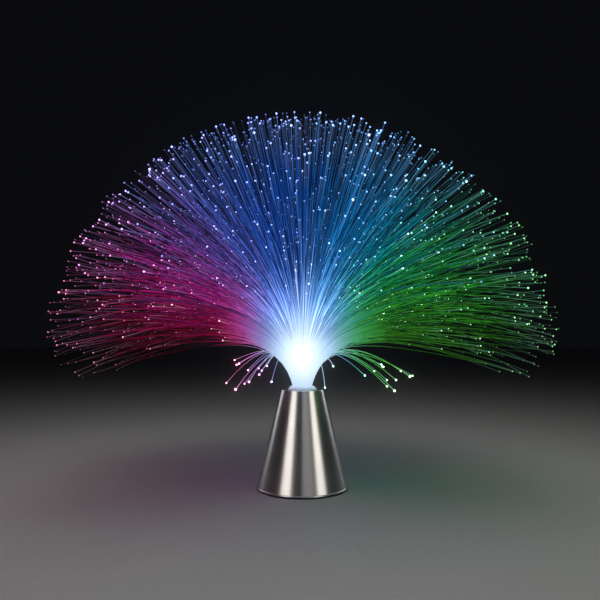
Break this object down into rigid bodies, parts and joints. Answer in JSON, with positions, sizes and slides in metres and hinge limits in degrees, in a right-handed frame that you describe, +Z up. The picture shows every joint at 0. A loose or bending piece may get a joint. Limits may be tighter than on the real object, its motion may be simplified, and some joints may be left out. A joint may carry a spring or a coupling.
{
  "type": "fiber optic lamp",
  "caption": "Battery fibre optic lamp: conical satin steel base, slide switch and battery door underneath, and a plug-in spray of plastic fibres lit by coloured LEDs.",
  "frame": {"origin": "on the lamp's axis at the height of the table that its rubber feet stand on", "axes": "+Z up along the cone's axis, +X to the viewer's right, +Y away from the viewer; the LEDs stand in a row along X"},
  "size_m": [0.4148, 0.4122, 0.3176],
  "materials": {
    "satin_steel": "satin, spun",
    "white_plastic": "moulded, slightly translucent",
    "grey_plastic": "fine spark texture",
    "ivory_plastic": "moulded",
    "black_plastic": "moulded",
    "board_green": "solder mask",
    "led_red_lens": "clear epoxy",
    "led_blue_lens": "clear epoxy",
    "led_green_lens": "clear epoxy",
    "resistor_body": "lacquered",
    "plated_steel": "zinc plated",
    "cell_jacket": "printed jacket, unmarked",
    "contact_brass": "nickel plated",
    "foot_rubber": "moulded",
    "wire_jacket": "PVC",
    "clear_fibre": "clear PMMA, cut ends",
    "fibre_magenta": "clear PMMA, lit",
    "fibre_violet": "clear PMMA, lit",
    "fibre_blue": "clear PMMA, lit",
    "fibre_teal": "clear PMMA, lit",
    "fibre_green": "clear PMMA, lit"
  },
  "bodies": {
    "base": {"cone_housing": "satin_steel", "socket_collar": "white_plastic", "collar_nut": "grey_plastic", "light_chamber": "white_plastic", "led_board": "board_green", "led_red": "led_red_lens", "led_blue": "led_blue_lens", "led_green": "led_green_lens", "colour_chip": "black_plastic", "resistors": "resistor_body", "board_screws": "plated_steel", "battery_frame": "ivory_plastic", "cell_1": "cell_jacket", "cell_2": "cell_jacket", "cell_3": "cell_jacket", "top_contacts": "contact_brass", "return_strip": "contact_brass", "base_plate": "grey_plastic", "base_screws": "plated_steel", "rubber_feet": "foot_rubber", "switch_case": "plated_steel", "switch_terminals": "contact_brass", "wires": "wire_jacket"},
    "door": {"battery_door": "grey_plastic", "door_contacts": "contact_brass", "door_screw": "plated_steel"},
    "switch": {"switch_knob": "black_plastic"},
    "fibre_plug": {"fibre_ferrule": "white_plastic", "fibre_bundle": "clear_fibre", "spray_magenta": "fibre_magenta", "spray_violet": "fibre_violet", "spray_blue": "fibre_blue", "spray_teal": "fibre_teal", "spray_green": "fibre_green"}
  },
  "joints": [
    {"name": "door_drop", "type": "slide", "parent": "base", "child": "door", "axis": [0, 0, -1], "range_m": [0, 0.02]},
    {"name": "switch_slide", "type": "slide", "parent": "base", "child": "switch", "axis": [1, 0, 0], "range_m": [0, 0.003]},
    {"name": "plug_lift", "type": "slide", "parent": "base", "child": "fibre_plug", "axis": [0, 0, 1], "range_m": [0, 0.02]}
  ]
}
